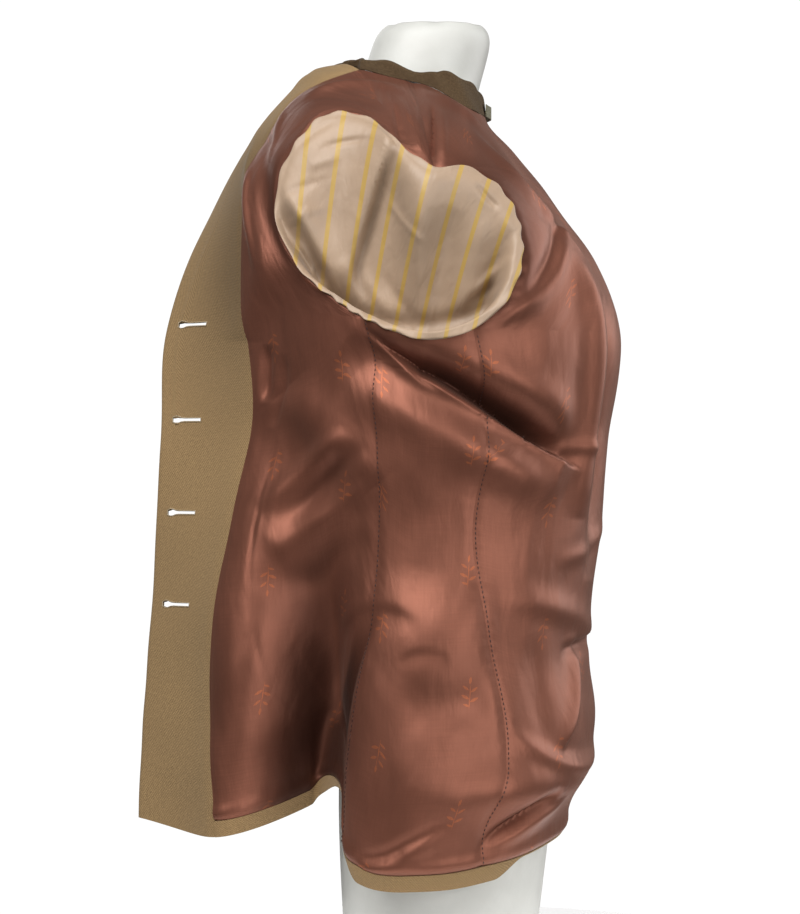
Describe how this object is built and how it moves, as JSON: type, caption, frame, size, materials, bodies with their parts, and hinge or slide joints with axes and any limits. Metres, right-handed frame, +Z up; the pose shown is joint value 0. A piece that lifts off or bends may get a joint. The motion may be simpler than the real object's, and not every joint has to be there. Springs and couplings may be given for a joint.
{
  "type": "inside-out blazer on dress form",
  "caption": "Tailored blazer turned inside out and hung open, back to front, on a limbless dress form, its sleeves pushed inside.",
  "frame": {"origin": "middle of the form's flat foot", "axes": "+Z up; the blazer's open front faces -Y and the form's chest +Y; the half with the buttonholes is at +X"},
  "size_m": [0.395, 0.3907, 0.784],
  "materials": {
    "lining": "brown shot satin",
    "cloth": "khaki fine twill",
    "sleeve_lining": "cream striped sleeve lining",
    "collar": "dark olive-brown felt",
    "form": "off-white satin",
    "button": "dark brown",
    "loop": "grey-green tape"
  },
  "bodies": {
    "root": {"button_1": "button", "button_2": "button", "button_3": "button", "button_4": "button", "cloth_back_left": "cloth", "cloth_back_right": "cloth", "cloth_front_left": "cloth", "cloth_front_right": "cloth", "cloth_side_left": "cloth", "cloth_side_right": "cloth", "collar": "collar", "dress_form": "form", "facing_left": "cloth", "facing_right": "cloth", "hanger_loop": "loop", "hem_band_left": "cloth", "hem_band_right": "cloth", "lining_back_left": "lining", "lining_back_right": "lining", "lining_front_left": "lining", "lining_front_right": "lining", "lining_side_left": "lining", "lining_side_right": "lining", "sleeve_top_left": "sleeve_lining", "sleeve_top_right": "sleeve_lining", "sleeve_under_left": "sleeve_lining", "sleeve_under_right": "sleeve_lining"}
  },
  "joints": []
}
